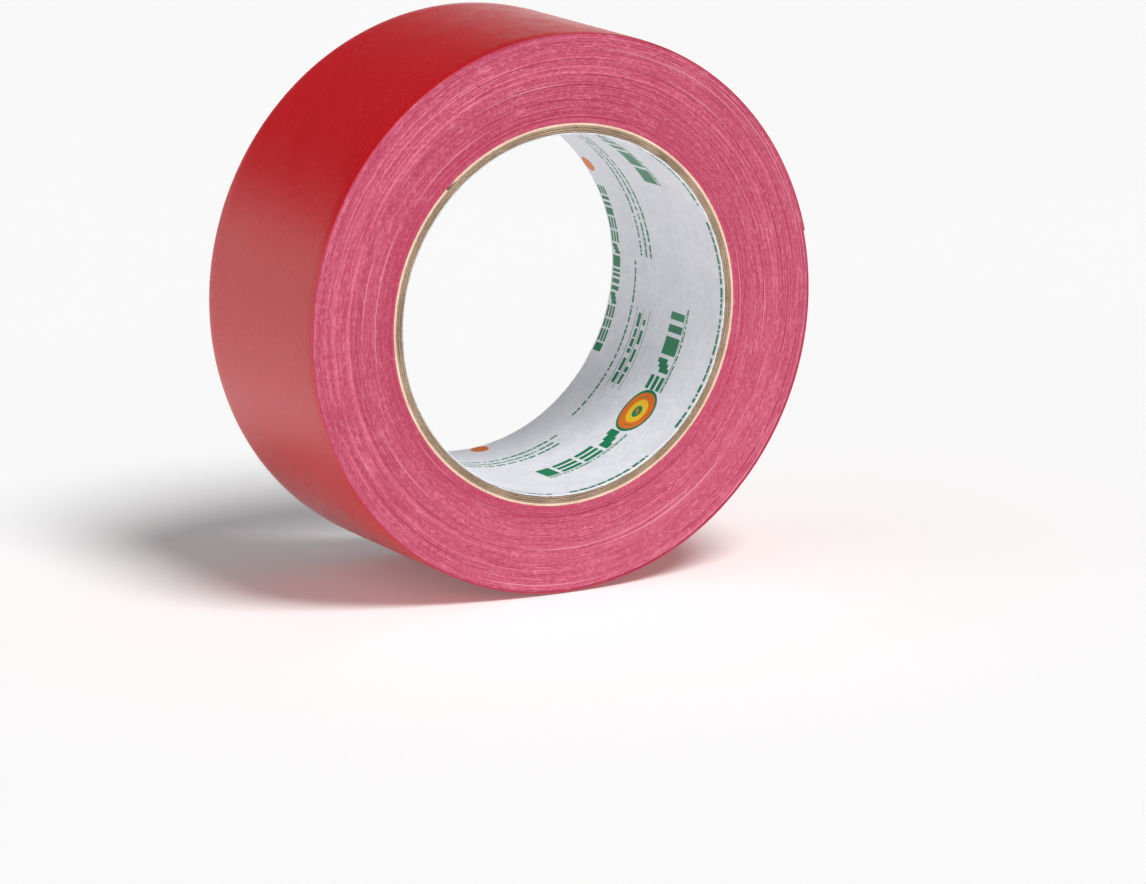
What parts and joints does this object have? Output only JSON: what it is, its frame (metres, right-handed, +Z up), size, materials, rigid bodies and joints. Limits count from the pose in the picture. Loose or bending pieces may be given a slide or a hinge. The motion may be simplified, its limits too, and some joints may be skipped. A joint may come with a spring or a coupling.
{
  "type": "duct tape roll",
  "caption": "Roll of cloth-backed tape on a paperboard core, standing on its rim, with a free end that peels off the last turn.",
  "frame": {"origin": "the middle of the roll, on its axis", "axes": "the roll's axis lies along Y, and the side face whose core shows its outer seam's gap faces -Y; +Z is up with the roll standing on its rim; the free end is on the +X side"},
  "size_m": [0.1184, 0.0478, 0.1186],
  "materials": {
    "liner_paper": "coated, printed",
    "kraft_board": "matte",
    "core_outer_paper": "matte",
    "wound_tape_edges": "slit edges of film, cloth and adhesive",
    "red_film": "satin, embossed by the cloth",
    "scrim_cloth": "open weave",
    "rubber_adhesive": "tacky, slightly glossy"
  },
  "bodies": {
    "roll": {"core_liner": "liner_paper", "core_board_inner": "kraft_board", "core_board_middle": "kraft_board", "core_board_outer": "kraft_board", "core_outer_ply": "core_outer_paper", "wound_tape": "wound_tape_edges", "last_turn_film": "red_film", "last_turn_scrim": "scrim_cloth", "last_turn_adhesive": "rubber_adhesive"},
    "free_end_1": {"free_end_1_film": "red_film", "free_end_1_scrim": "scrim_cloth", "free_end_1_adhesive": "rubber_adhesive"},
    "free_end_2": {"free_end_2_film": "red_film", "free_end_2_scrim": "scrim_cloth", "free_end_2_adhesive": "rubber_adhesive"},
    "free_end_3": {"free_end_3_film": "red_film", "free_end_3_scrim": "scrim_cloth", "free_end_3_adhesive": "rubber_adhesive"}
  },
  "joints": [
    {"name": "peel_1", "type": "hinge", "parent": "roll", "child": "free_end_1", "pos_m": [0.03195, 0, 0.05015], "axis": [0, -1, 0], "range_deg": [0, 60]},
    {"name": "peel_2", "type": "hinge", "parent": "free_end_1", "child": "free_end_2", "pos_m": [0.04385, 0, 0.04018], "axis": [0, -1, 0], "range_deg": [0, 54]},
    {"name": "peel_3", "type": "hinge", "parent": "free_end_2", "child": "free_end_3", "pos_m": [0.05277, 0, 0.02747], "axis": [0, -1, 0], "range_deg": [0, 48]}
  ],
  "couplings": [
    {"joint": "peel_2", "follows": "peel_1", "ratio": 0.9},
    {"joint": "peel_3", "follows": "peel_1", "ratio": 0.8}
  ]
}
